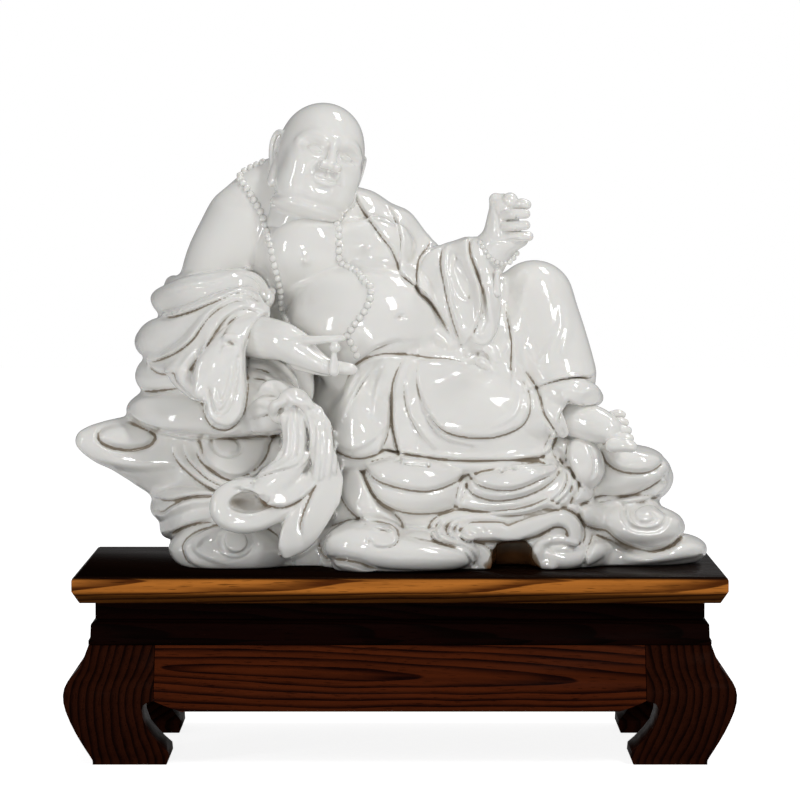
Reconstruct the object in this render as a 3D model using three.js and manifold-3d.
import * as THREE from 'three';
import { mergeVertices } from 'three/addons/utils/BufferGeometryUtils.js';
import Module from 'manifold-3d';

// Driving sizes of the stand and the figure, in millimetres.
const STAND_HEIGHT = 128;
const BOARD_WIDTH = 440;
const BOARD_DEPTH = 240;
const BOARD_THICKNESS = 18;
const BOARD_LIP = 5;
const BOARD_ROUND = 2.5;
const WAIST_HEIGHT = 12;
const WAIST_INSET = 15;
const WAIST_THICKNESS = 16;
const MOULDING_HEIGHT = 17;
const MOULDING_DEPTH = 30;
const APRON_HEIGHT = 43;
const APRON_THICKNESS = 20;
const BULGE = 5.5;
const LEG_WIDTH = 55;
const NOTCH_RADIUS = 9;
const FOOT_WIDTH = 52;
const SEAT_GAP = 0.3;
const FIGURE_HEIGHT = 322;

// The figure is laid out in shares of its own height: x to the right, y away from the viewer, z up.
const HEIGHT_SHARES = 463;
const SHARE = FIGURE_HEIGHT / HEIGHT_SHARES;
const CLAY_LOW = [-345, -175, -14];
const CLAY_HIGH = [325, 165, 478];
const CLAY_CELL = 4.4;
const FIGURE_FACES = 7200;
const BEAD_RADIUS = 3.9;

// Lines on the front are drawn as they are seen by a viewer at this distance and height.
const EYE_AWAY = 4200;
const EYE_HIGH = 377;
const OUTSIDE = 60;

const wasm = await Module();
wasm.setup();

const clamp = (v, low, high) => Math.min(Math.max(v, low), high);

// A smooth line through the nodes; further numbers, such as a radius, are carried along.
function curve(nodes, steps) {
  const last = nodes.length - 1;
  const before = nodes[0].map((v, i) => 2 * v - nodes[Math.min(1, last)][i]);
  const after = nodes[last].map((v, i) => 2 * v - nodes[Math.max(last - 1, 0)][i]);
  const run = [before, ...nodes, after];
  const line = [];
  for (let k = 1; k <= last; k++) {
    for (let s = 0; s < steps; s++) {
      const t = s / steps;
      line.push(run[k].map((b, i) => {
        const [a, c, d] = [run[k - 1][i], run[k + 1][i], run[k + 2][i]];
        return 0.5 * (2 * b + (c - a) * t + (2 * a - 5 * b + 4 * c - d) * t * t
          + (3 * b - a - 3 * c + d) * t ** 3);
      }));
    }
  }
  line.push(nodes[last].slice());
  return line;
}

// Rows of the rotation about x, then y, then z, in degrees.
function turned([rx, ry, rz]) {
  const turn = new THREE.Matrix4().makeRotationFromEuler(new THREE.Euler(
    THREE.MathUtils.degToRad(rx), THREE.MathUtils.degToRad(ry), THREE.MathUtils.degToRad(rz), 'ZYX'));
  const e = turn.elements;
  return [[e[0], e[4], e[8]], [e[1], e[5], e[9]], [e[2], e[6], e[10]]];
}

const times = (m, v) => m.map((row) => row[0] * v[0] + row[1] * v[1] + row[2] * v[2]);

const product = (a, b) => a.map((row) => [0, 1, 2].map((j) => (
  row[0] * b[0][j] + row[1] * b[1][j] + row[2] * b[2][j])));

const PLAIN = [[1, 0, 0], [0, 1, 0], [0, 0, 1]];

// Modelling clay: a block of distances to the surface, below zero inside, that forms are added to,
// cut from and pressed into.
class Clay {
  constructor(low, high, cell, reach = 12) {
    this.low = low;
    this.cell = cell;
    this.reach = reach;
    this.count = low.map((v, i) => Math.ceil((high[i] - v) / cell) + 1);
    this.rowStep = this.count[2];
    this.slabStep = this.count[1] * this.count[2];
    this.field = new Float32Array(this.slabStep * this.count[0]).fill(OUTSIDE);
    this.pose();
  }

  // Later blobs and limbs are given in a frame that is scaled, turned and then moved like this.
  pose({ turn = [0, 0, 0], shift = [0, 0, 0], size = 1 } = {}) {
    this.frame = { turn: turned(turn), shift, size };
  }

  placed(p) {
    const { turn, shift, size } = this.frame;
    return times(turn, p.map((v) => v * size)).map((v, i) => v + shift[i]);
  }

  range(low, high, reach) {
    const first = low.map((v, i) => clamp(Math.floor((v - reach - this.low[i]) / this.cell), 0,
      this.count[i]));
    const end = high.map((v, i) => clamp(Math.ceil((v + reach - this.low[i]) / this.cell) + 1, 0,
      this.count[i]));
    return [first, end];
  }

  // Joins a form, given by its distance at a point, to the clay or cuts it out, with a soft seam.
  apply(low, high, distance, blend, carve) {
    const [first, end] = this.range(low, high, Math.max(this.reach, blend));
    for (let i = first[0]; i < end[0]; i++) {
      const x = this.low[0] + i * this.cell;
      for (let j = first[1]; j < end[1]; j++) {
        const y = this.low[1] + j * this.cell;
        let at = i * this.slabStep + j * this.rowStep + first[2];
        for (let k = first[2]; k < end[2]; k++, at++) {
          const d = distance(x, y, this.low[2] + k * this.cell);
          if (d > OUTSIDE) continue;
          const f = this.field[at];
          if (carve) {
            const h = blend > 0 ? Math.max(blend - Math.abs(f + d), 0) / blend : 0;
            this.field[at] = Math.max(f, -d) + h * h * blend * 0.25;
          } else {
            const h = blend > 0 ? Math.max(blend - Math.abs(f - d), 0) / blend : 0;
            this.field[at] = Math.min(f, d) - h * h * blend * 0.25;
          }
        }
      }
    }
  }

  blob(centre, radii, { turn = [0, 0, 0], blend = 8, carve = false } = {}) {
    const [cx, cy, cz] = this.placed(centre);
    const [a, b, c] = radii.map((v) => v * this.frame.size);
    const big = Math.max(a, b, c);
    const m = product(this.frame.turn, turned(turn));
    this.apply([cx - big, cy - big, cz - big], [cx + big, cy + big, cz + big], (px, py, pz) => {
      const x = px - cx;
      const y = py - cy;
      const z = pz - cz;
      const u = (m[0][0] * x + m[1][0] * y + m[2][0] * z) / a;
      const v = (m[0][1] * x + m[1][1] * y + m[2][1] * z) / b;
      const w = (m[0][2] * x + m[1][2] * y + m[2][2] * z) / c;
      const near = Math.sqrt(u * u + v * v + w * w);
      const slope = Math.sqrt((u / a) ** 2 + (v / b) ** 2 + (w / c) ** 2) + 1e-6;
      return near * (near - 1) / slope;
    }, blend, carve);
  }

  // A tapered rope through nodes of x, y, z and radius; flat presses it thin along a direction.
  limb(nodes, { blend = 5, steps = 5, carve = false, flat = null } = {}) {
    const { size, turn } = this.frame;
    const line = curve(nodes, steps).map((p) => [...this.placed(p.slice(0, 3)), p[3] * size]);
    const thin = flat ? flat[1] : 1;
    const along = flat ? new THREE.Vector3(...times(turn, flat[0])).normalize().toArray() : [0, 0, 0];
    const stretch = 1 / thin ** 2 - 1;
    const reach = Math.max(this.reach, blend);
    const low = [0, 1, 2].map((i) => Math.min(...line.map((p) => p[i] - p[3])));
    const high = [0, 1, 2].map((i) => Math.max(...line.map((p) => p[i] + p[3])));
    const [first, end] = this.range(low, high, reach);
    const span = end.map((v, i) => v - first[i]);
    if (Math.min(...span) <= 0) return;
    const nearest = new Float32Array(span[0] * span[1] * span[2]).fill(OUTSIDE * 2);
    for (let n = 0; n + 1 < line.length; n++) {
      const [a, b] = [line[n], line[n + 1]];
      const run = [b[0] - a[0], b[1] - a[1], b[2] - a[2]];
      const length2 = run[0] ** 2 + run[1] ** 2 + run[2] ** 2 + 1e-9;
      const [from, to] = this.range([0, 1, 2].map((i) => Math.min(a[i] - a[3], b[i] - b[3])),
        [0, 1, 2].map((i) => Math.max(a[i] + a[3], b[i] + b[3])), reach);
      for (let i = from[0]; i < to[0]; i++) {
        const x = this.low[0] + i * this.cell - a[0];
        for (let j = from[1]; j < to[1]; j++) {
          const y = this.low[1] + j * this.cell - a[1];
          let at = ((i - first[0]) * span[1] + j - first[1]) * span[2] + from[2] - first[2];
          for (let k = from[2]; k < to[2]; k++, at++) {
            const z = this.low[2] + k * this.cell - a[2];
            const t = clamp((x * run[0] + y * run[1] + z * run[2]) / length2, 0, 1);
            const ex = x - t * run[0];
            const ey = y - t * run[1];
            const ez = z - t * run[2];
            const push = ex * along[0] + ey * along[1] + ez * along[2];
            const far = Math.sqrt(ex * ex + ey * ey + ez * ez + push * push * stretch);
            const d = (far - a[3] - t * (b[3] - a[3])) * Math.sqrt(thin);
            if (d < nearest[at]) nearest[at] = d;
          }
        }
      }
    }
    const cellAt = (v, i) => Math.round((v - this.low[i]) / this.cell) - first[i];
    this.apply(low, high, (x, y, z) => nearest[(cellAt(x, 0) * span[1] + cellAt(y,
      1)) * span[2] + cellAt(z, 2)],
      blend, carve);
  }

  box(low, high, rounding, { blend = 4 } = {}) {
    const middle = low.map((v, i) => (v + high[i]) / 2);
    const half = low.map((v, i) => (high[i] - v) / 2 - rounding);
    this.apply(low, high, (x, y, z) => {
      const q = [Math.abs(x - middle[0]) - half[0], Math.abs(y - middle[1]) - half[1],
        Math.abs(z - middle[2]) - half[2]];
      const out = Math.hypot(Math.max(q[0], 0), Math.max(q[1], 0), Math.max(q[2], 0));
      return out + Math.min(Math.max(q[0], q[1], q[2]), 0) - rounding;
    }, blend, false);
  }

  // The depth at which the clay is first met at x and z, or null beside it; side is -1 for the front
  // and 1 for the back.
  facing(x, z, side = -1) {
    const gx = clamp((x - this.low[0]) / this.cell, 0, this.count[0] - 1.001);
    const gz = clamp((z - this.low[2]) / this.cell, 0, this.count[2] - 1.001);
    const i = Math.floor(gx);
    const k = Math.floor(gz);
    const tx = gx - i;
    const tz = gz - k;
    let last = 1;
    for (let n = 0; n < this.count[1]; n++) {
      const j = side < 0 ? n : this.count[1] - 1 - n;
      const at = i * this.slabStep + j * this.rowStep + k;
      const near = this.field[at] * (1 - tz) + this.field[at + 1] * tz;
      const far = this.field[at + this.slabStep] * (1 - tz) + this.field[at + this.slabStep + 1] * tz;
      const value = near * (1 - tx) + far * tx;
      if (value < 0) return this.low[1] + (j + (n > 0 ? side * value / (value - last) : 0)) * this.cell;
      last = value;
    }
    return null;
  }

  // Lays a line of seen x and z, with a third number, on the clay as x, y, z and that number.
  seen(line, smooth, side = -1) {
    let depth = line.map(() => 0);
    for (let round = 0; round < 3; round++) {
      const found = line.map(([x, z], n) => {
        const near = side < 0 ? 1 + depth[n] / EYE_AWAY : 1;
        return this.facing(x * near, EYE_HIGH - (EYE_HIGH - z) * near, side);
      });
      const known = found.map((y, n) => (y === null ? -1 : n)).filter((n) => n >= 0);
      if (!known.length) return null;
      depth = found.map((y, n) => {
        if (y !== null) return y;
        const before = known.filter((m) => m < n).pop() ?? known[0];
        const after = known.find((m) => m > n) ?? known[known.length - 1];
        const t = after > before ? clamp((n - before) / (after - before), 0, 1) : 0;
        return found[before] * (1 - t) + found[after] * t;
      });
    }
    for (let round = 0; round < smooth; round++) {
      depth = depth.map((y, n) => 0.25 * depth[Math.max(n - 1, 0)] + 0.5 * y
        + 0.25 * depth[Math.min(n + 1, depth.length - 1)]);
    }
    return line.map(([x, z, more], n) => {
      const near = side < 0 ? 1 + depth[n] / EYE_AWAY : 1;
      return [x * near, depth[n], EYE_HIGH - (EYE_HIGH - z) * near, more];
    });
  }

  ridge(line, { sink = 2, blend = 3, steps = 5 } = {}) {
    const path = this.seen(curve(line, steps), 3);
    if (path) this.limb(path.map(([x, y, z, r]) => [x, y + sink, z, r]), { blend, steps: 1 });
  }

  groove(line, { sink = 0, blend = 2, steps = 5 } = {}) {
    const path = this.seen(curve(line, steps), 3);
    if (path) this.limb(path.map(([x, y, z, r]) => [x, y + sink, z, r]), { blend, steps: 1, carve: true });
  }

  // Moves the seen surface out, by an amount for each column within a margin of a line.
  push(path, margin, deep, side, amount) {
    const low = [Math.min(...path.map((p) => p[0])), 0, Math.min(...path.map((p) => p[2]))];
    const high = [Math.max(...path.map((p) => p[0])), 0, Math.max(...path.map((p) => p[2]))];
    const [first, end] = this.range(low, high, margin);
    for (let i = first[0]; i < end[0]; i++) {
      const x = this.low[0] + i * this.cell;
      for (let k = first[2]; k < end[2]; k++) {
        const z = this.low[2] + k * this.cell;
        const rise = amount(x, z);
        if (Math.abs(rise) < 1e-3) continue;
        const front = this.facing(x, z, side);
        if (front === null) continue;
        for (let j = 0; j < this.count[1]; j++) {
          const behind = (this.low[1] + j * this.cell - front) * -side;
          if (behind <= -30 || behind >= deep) continue;
          const fade = clamp((deep - behind) / (0.4 * deep), 0, 1);
          this.field[i * this.slabStep + j * this.rowStep + k] -= rise * fade;
        }
      }
    }
  }

  // Raises, or below zero sinks, the front inside a closed outline, with a moat sunk round it.
  swell(outline, amount, { soft = 2.5, deep = 40, dome = 0, moat = 0 } = {}) {
    const ring = this.seen(curve([...outline, outline[0]].map(([x, z]) => [x, z, 0]), 4).slice(0, -1), 4);
    if (!ring) return;
    this.push(ring, soft + this.cell + 2 * moat, deep, -1, (x, z) => {
      let inside = false;
      let best = 1e9;
      for (let n = 0; n < ring.length; n++) {
        const [ax, , az] = ring[n];
        const [bx, , bz] = ring[(n + 1) % ring.length];
        const ex = bx - ax;
        const ez = bz - az;
        const t = clamp(((x - ax) * ex + (z - az) * ez) / (ex * ex + ez * ez + 1e-9), 0, 1);
        best = Math.min(best, (x - ax - t * ex) ** 2 + (z - az - t * ez) ** 2);
        if ((az > z) !== (bz > z) && x < ex * (z - az) / ez + ax) inside = !inside;
      }
      const s = (inside ? 1 : -1) * Math.sqrt(best);
      const rise = clamp((s + soft) / (2 * soft), 0, 1);
      let w = rise * rise * (3 - 2 * rise);
      if (dome) w *= 0.35 + 0.65 * Math.sqrt(1 - (1 - clamp(s / dome, 0, 1)) ** 2);
      return w * amount - moat * Math.exp(-(((s + soft * 0.7 + 0.6) / 1.5) ** 2));
    });
  }

  // A step in the cloth along a seen line of x, z and height: sharp on one side and dying away over
  // width on the other, which is left of the line's run for hand 1 and right of it for hand -1.
  fold(line, { width = 16, hand = 1, soft = 1.5, moat = 1.2, deep = 34, side = -1 } = {}) {
    const path = this.seen(curve(line, 4), 4, side);
    if (!path) return;
    this.push(path, Math.max(width, 5) + this.cell, deep, side, (x, z) => {
      let best = 1e9;
      let height = 0;
      let sign = 1;
      for (let n = 0; n + 1 < path.length; n++) {
        const [ax, , az, ah] = path[n];
        const [bx, , bz, bh] = path[n + 1];
        const ex = bx - ax;
        const ez = bz - az;
        const t = clamp(((x - ax) * ex + (z - az) * ez) / (ex * ex + ez * ez + 1e-9), 0, 1);
        const d = (x - ax - t * ex) ** 2 + (z - az - t * ez) ** 2;
        if (d < best) {
          best = d;
          height = ah + t * (bh - ah);
          sign = ex * (z - az) - ez * (x - ax) >= 0 ? 1 : -1;
        }
      }
      const s = sign * Math.sqrt(best) * hand;
      const rise = clamp((s + soft) / (2 * soft), 0, 1);
      const away = 1 - clamp(s / width, 0, 1);
      return height * (rise * rise * (3 - 2 * rise) * away * away * (3 - 2 * away)
        - moat / 4 * Math.exp(-(((s + soft * 0.7 + 0.6) / 1.4) ** 2)));
    });
  }

  // Clears the block's own six sides, so that the surface closes there.
  clearSides() {
    const [ni, nj, nk] = this.count;
    for (let i = 0; i < ni; i++) {
      for (let j = 0; j < nj; j++) {
        const edge = i === 0 || j === 0 || i === ni - 1 || j === nj - 1;
        for (let k = 0; k < nk; k += edge ? 1 : nk - 1) {
          const at = i * this.slabStep + j * this.rowStep + k;
          this.field[at] = Math.max(this.field[at], this.cell / 4);
        }
      }
    }
  }

  // The surface as a closed mesh: each cube of the clay is cut into six tetrahedra round its diagonal.
  skin() {
    this.clearSides();
    const steps = [1, this.rowStep, this.slabStep];
    const corner = [0, 1, 2, 3, 4, 5, 6, 7].map((c) => (
      (c & 1) * steps[2] + ((c >> 1) & 1) * steps[1] + (c >> 2) * steps[0]));
    const wedges = [[0, 1, 3, 7], [0, 3, 2, 7], [0, 2, 6, 7], [0, 6, 4, 7], [0, 4, 5, 7], [0, 5, 1, 7]];
    const places = [];
    const faces = [];
    const number = new Map();
    const point = (at) => [this.low[0] + Math.floor(at / this.slabStep) * this.cell,
      this.low[1] + Math.floor((at % this.slabStep) / this.rowStep) * this.cell,
      this.low[2] + (at % this.rowStep) * this.cell];
    const vertex = (a, b) => {
      const key = Math.min(a, b) * 8 + corner.indexOf(Math.abs(a - b));
      let id = number.get(key);
      if (id === undefined) {
        const t = clamp(this.field[a] / (this.field[a] - this.field[b]), 0.04, 0.96);
        const [p, q] = [point(a), point(b)];
        id = places.length / 3;
        places.push(p[0] + t * (q[0] - p[0]), p[1] + t * (q[1] - p[1]), p[2] + t * (q[2] - p[2]));
        number.set(key, id);
      }
      return id;
    };
    const face = (a, b, c, inner, outer) => {
      const [p, q, r] = [a, b, c].map((v) => new THREE.Vector3(places[3 * v], places[3 * v + 1],
        places[3 * v + 2]));
      const normal = q.sub(p).cross(r.sub(p));
      const [from, to] = [point(inner), point(outer)];
      const out = normal.x * (to[0] - from[0]) + normal.y * (to[1] - from[1]) + normal.z * (to[2] - from[2]);
      if (out > 0) faces.push(a, b, c);
      else faces.push(a, c, b);
    };
    for (let i = 0; i + 1 < this.count[0]; i++) {
      for (let j = 0; j + 1 < this.count[1]; j++) {
        for (let k = 0; k + 1 < this.count[2]; k++) {
          const base = i * this.slabStep + j * this.rowStep + k;
          let below = 0;
          for (const c of corner) if (this.field[base + c] < 0) below++;
          if (below === 0 || below === 8) continue;
          for (const wedge of wedges) {
            const ids = wedge.map((c) => base + corner[c]);
            const inner = ids.filter((at) => this.field[at] < 0);
            const outer = ids.filter((at) => this.field[at] >= 0);
            if (inner.length === 1) {
              face(...outer.map((o) => vertex(inner[0], o)), inner[0], outer[0]);
            } else if (inner.length === 3) {
              face(...inner.map((n) => vertex(n, outer[0])), inner[0], outer[0]);
            } else if (inner.length === 2) {
              const [a, b, c, d] = [vertex(inner[0], outer[0]), vertex(inner[0], outer[1]),
                vertex(inner[1], outer[1]), vertex(inner[1], outer[0])];
              face(a, b, c, inner[0], outer[1]);
              face(a, c, d, inner[1], outer[0]);
            }
          }
        }
      }
    }
    return { places, faces };
  }
}

// Keeps only the largest closed shell of a mesh, so that neither crumbs nor sealed hollows stay.
function largestShell({ places, faces }) {
  const root = Array.from({ length: places.length / 3 }, (_, i) => i);
  const find = (v) => {
    let top = v;
    while (root[top] !== top) top = root[top];
    while (root[v] !== top) [root[v], v] = [top, root[v]];
    return top;
  };
  for (let f = 0; f < faces.length; f += 3) {
    root[find(faces[f])] = find(faces[f + 1]);
    root[find(faces[f + 2])] = find(faces[f + 1]);
  }
  const tally = new Map();
  for (let f = 0; f < faces.length; f += 3) {
    const top = find(faces[f]);
    tally.set(top, (tally.get(top) ?? 0) + 1);
  }
  const keep = [...tally.entries()].sort((a, b) => b[1] - a[1])[0][0];
  const kept = [];
  for (let f = 0; f < faces.length; f += 3) {
    if (find(faces[f]) === keep) kept.push(faces[f], faces[f + 1], faces[f + 2]);
  }
  return { places, faces: kept };
}

// Thins a closed mesh to a number of faces. The edge whose loss bends the surface least goes first,
// by the sum of squared distances to the planes round it, and no loss may fold or pinch the surface.
function thinned({ places, faces }, wanted) {
  const count = places.length / 3;
  const at = Float64Array.from(places);
  const corners = Int32Array.from(faces);
  const alive = new Uint8Array(corners.length / 3).fill(1);
  const around = Array.from({ length: count }, () => []);
  const planes = new Float64Array(count * 10);
  const stamp = new Int32Array(count);
  const cross = (p, q, r) => {
    const [ux, uy, uz] = [q[0] - p[0], q[1] - p[1], q[2] - p[2]];
    const [vx, vy, vz] = [r[0] - p[0], r[1] - p[1], r[2] - p[2]];
    return [uy * vz - uz * vy, uz * vx - ux * vz, ux * vy - uy * vx];
  };
  const spot = (v) => [at[3 * v], at[3 * v + 1], at[3 * v + 2]];
  for (let f = 0; f < alive.length; f++) {
    const ids = [corners[3 * f], corners[3 * f + 1], corners[3 * f + 2]];
    const n = cross(...ids.map(spot));
    const area = Math.hypot(...n) + 1e-12;
    const [a, b, c] = n.map((v) => v / area);
    const d = -(a * at[3 * ids[0]] + b * at[3 * ids[0] + 1] + c * at[3 * ids[0] + 2]);
    const terms = [a * a, a * b, a * c, a * d, b * b, b * c, b * d, c * c, c * d, d * d];
    for (const v of ids) {
      around[v].push(f);
      for (let k = 0; k < 10; k++) planes[10 * v + k] += terms[k] * area;
    }
  }
  const bend = (q, [x, y, z]) => q[0] * x * x + 2 * q[1] * x * y + 2 * q[2] * x * z + 2 * q[3] * x
    + q[4] * y * y
    + 2 * q[5] * y * z + 2 * q[6] * y + q[7] * z * z + 2 * q[8] * z + q[9];
  const best = (v, w) => {
    const q = [];
    for (let k = 0; k < 10; k++) q.push(planes[10 * v + k] + planes[10 * w + k]);
    const [p, r] = [spot(v), spot(w)];
    const middle = p.map((value, i) => (value + r[i]) / 2);
    const choices = [middle, p, r];
    const solve = q[0] * (q[4] * q[7] - q[5] * q[5]) - q[1] * (q[1] * q[7] - q[5] * q[2])
      + q[2] * (q[1] * q[5] - q[4] * q[2]);
    if (Math.abs(solve) > 1e-3 * (q[0] + q[4] + q[7]) ** 3 * 0.01) {
      const [bx, by, bz] = [-q[3], -q[6], -q[8]];
      const x = (bx * (q[4] * q[7] - q[5] * q[5]) - q[1] * (by * q[7] - q[5] * bz)
        + q[2] * (by * q[5] - q[4] * bz)) / solve;
      const y = (q[0] * (by * q[7] - bz * q[5]) - bx * (q[1] * q[7] - q[5] * q[2])
        + q[2] * (q[1] * bz - by * q[2])) / solve;
      const z = (q[0] * (q[4] * bz - q[5] * by) - q[1] * (q[1] * bz - by * q[2])
        + bx * (q[1] * q[5] - q[4] * q[2])) / solve;
      const length = Math.hypot(p[0] - r[0], p[1] - r[1], p[2] - r[2]);
      if (Math.hypot(x - middle[0], y - middle[1], z - middle[2]) < 1.5 * length) choices.unshift([x, y,
        z]);
    }
    let [least, place] = [Infinity, middle];
    for (const choice of choices) {
      const cost = bend(q, choice);
      if (cost < least) [least, place] = [cost, choice];
    }
    return [Math.max(least, 0) + 1e-7, place];
  };
  // Edges wait in a heap of entry numbers, least cost on top.
  const room = alive.length * 12;
  const costs = new Float64Array(room);
  const ends = new Int32Array(room * 4);
  const heap = new Int32Array(room);
  let entries = 0;
  let waiting = 0;
  const offer = (v, w) => {
    if (entries === room) return;
    const [cost] = best(v, w);
    costs[entries] = cost;
    ends.set([v, w, stamp[v], stamp[w]], entries * 4);
    let n = waiting++;
    while (n > 0) {
      const up = (n - 1) >> 1;
      if (costs[heap[up]] <= cost) break;
      heap[n] = heap[up];
      n = up;
    }
    heap[n] = entries++;
  };
  const take = () => {
    const top = heap[0];
    const item = heap[--waiting];
    let n = 0;
    for (;;) {
      let next = 2 * n + 1;
      if (next >= waiting) break;
      if (next + 1 < waiting && costs[heap[next + 1]] < costs[heap[next]]) next++;
      if (costs[heap[next]] >= costs[item]) break;
      heap[n] = heap[next];
      n = next;
    }
    heap[n] = item;
    return ends.subarray(top * 4, top * 4 + 4);
  };
  for (let f = 0; f < alive.length; f++) {
    for (let k = 0; k < 3; k++) {
      const [v, w] = [corners[3 * f + k], corners[3 * f + (k + 1) % 3]];
      if (v < w) offer(v, w);
    }
  }
  const ring = (v) => {
    const out = new Set();
    for (const f of around[v]) {
      for (let k = 0; k < 3; k++) if (corners[3 * f + k] !== v) out.add(corners[3 * f + k]);
    }
    return out;
  };
  const folds = (v, w, place) => {
    for (const f of around[v]) {
      const ids = [corners[3 * f], corners[3 * f + 1], corners[3 * f + 2]];
      if (ids.includes(w)) continue;
      const old = cross(...ids.map(spot));
      const now = cross(...ids.map((id) => (id === v ? place : spot(id))));
      const dot = old[0] * now[0] + old[1] * now[1] + old[2] * now[2];
      if (dot < 0.25 * Math.hypot(...old) * Math.hypot(...now) || Math.hypot(...now) < 1e-4) return true;
    }
    return false;
  };
  let left = alive.length;
  while (left > wanted && waiting) {
    const [v, w, sv, sw] = take();
    if (stamp[v] !== sv || stamp[w] !== sw) continue;
    const shared = around[v].filter((f) => around[w].includes(f));
    if (shared.length !== 2) continue;
    const common = [...ring(v)].filter((id) => ring(w).has(id));
    if (common.length !== 2) continue;
    const [, place] = best(v, w);
    if (folds(v, w, place) || folds(w, v, place)) continue;
    for (const f of shared) {
      alive[f] = 0;
      for (let k = 0; k < 3; k++) {
        const id = corners[3 * f + k];
        around[id] = around[id].filter((g) => g !== f);
      }
    }
    for (const f of around[w]) {
      for (let k = 0; k < 3; k++) if (corners[3 * f + k] === w) corners[3 * f + k] = v;
      around[v].push(f);
    }
    around[w] = [];
    place.forEach((value, i) => { at[3 * v + i] = value; });
    for (let k = 0; k < 10; k++) planes[10 * v + k] += planes[10 * w + k];
    stamp[v]++;
    stamp[w] = -1;
    left -= 2;
    for (const id of ring(v)) offer(v, id);
  }
  const numbers = new Map();
  const outPlaces = [];
  const outFaces = [];
  for (let f = 0; f < alive.length; f++) {
    if (!alive[f]) continue;
    for (let k = 0; k < 3; k++) {
      const id = corners[3 * f + k];
      if (!numbers.has(id)) {
        numbers.set(id, outPlaces.length / 3);
        outPlaces.push(at[3 * id], at[3 * id + 1], at[3 * id + 2]);
      }
      outFaces.push(numbers.get(id));
    }
  }
  return { places: outPlaces, faces: outFaces };
}

// Points of an oval outline.
function oval(cx, cz, rx, rz, tilt = 0) {
  const points = [];
  for (let n = 0; n < 10; n++) {
    const spot = new THREE.Vector2(rx * Math.cos(n * Math.PI / 5), rz * Math.sin(n * Math.PI / 5));
    spot.rotateAround(new THREE.Vector2(), THREE.MathUtils.degToRad(tilt));
    points.push([cx + spot.x, cz + spot.y]);
  }
  return points;
}

// A cloud's curl: a spiral groove that winds to its middle.
function scroll(c, cx, cz, rx, rz, turns, { start = 90, hand = 1, width = 2.4 } = {}) {
  const count = Math.floor(14 * turns);
  const line = [];
  for (let n = 0; n <= count; n++) {
    const s = n / count;
    const angle = THREE.MathUtils.degToRad(start) + hand * 2 * Math.PI * turns * s;
    const size = 1 - 0.86 * s;
    line.push([cx + rx * size * Math.cos(angle), cz + rz * size * Math.sin(angle),
      width * (1.15 - 0.35 * s) * Math.min(1, 0.35 + 3 * s)]);
  }
  c.groove(line, { sink: -0.6, steps: 2, blend: 2 });
}

// Bead centres at even steps along a seen line, sunk a little into the surface.
function beadPlaces(c, line, radius) {
  const path = c.seen(curve(line.map(([x, z]) => [x, z, radius]), 8), 6);
  const run = [0];
  for (let n = 1; n < path.length; n++) {
    run.push(run[n - 1] + Math.hypot(...[0, 1, 2].map((i) => path[n][i] - path[n - 1][i])));
  }
  const count = Math.floor(run[run.length - 1] / (1.9 * radius));
  const places = [];
  for (let n = 0; n <= count; n++) {
    const at = run[run.length - 1] * n / count;
    const k = clamp(run.findIndex((v) => v >= at), 1, run.length - 1);
    const t = (at - run[k - 1]) / (run[k] - run[k - 1]);
    const [x, y, z] = [0, 1, 2].map((i) => path[k - 1][i] * (1 - t) + path[k][i] * t);
    places.push([x, y + BEAD_RADIUS * 0.2, z]);
  }
  return places;
}

// The necklace's two strands, as lines seen from the front.
const LEFT_STRAND = [[-137, 399], [-154, 391], [-160, 384], [-155, 376], [-147, 363], [-139, 349],
  [-134, 334],
  [-130, 318], [-127, 303], [-124, 291], [-120, 273], [-119, 263], [-119, 255], [-116, 247], [-111, 236]];
const RIGHT_STRAND = [[-57, 348], [-63, 341], [-61, 331], [-61, 315], [-60, 300], [-53, 295],
  [-41, 288], [-36, 280], [-30, 275], [-29, 267], [-32, 257], [-37, 248], [-43, 240], [-48, 233],
  [-53, 226], [-50, 220], [-46, 213], [-43, 206]];

// The bracelet's beads in front of the raised hand's wrist.
const BRACELET = [[74, 319], [77, 312], [83, 305], [89, 299], [95, 296], [101, 299], [107, 304],
  [113, 310]];

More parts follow.
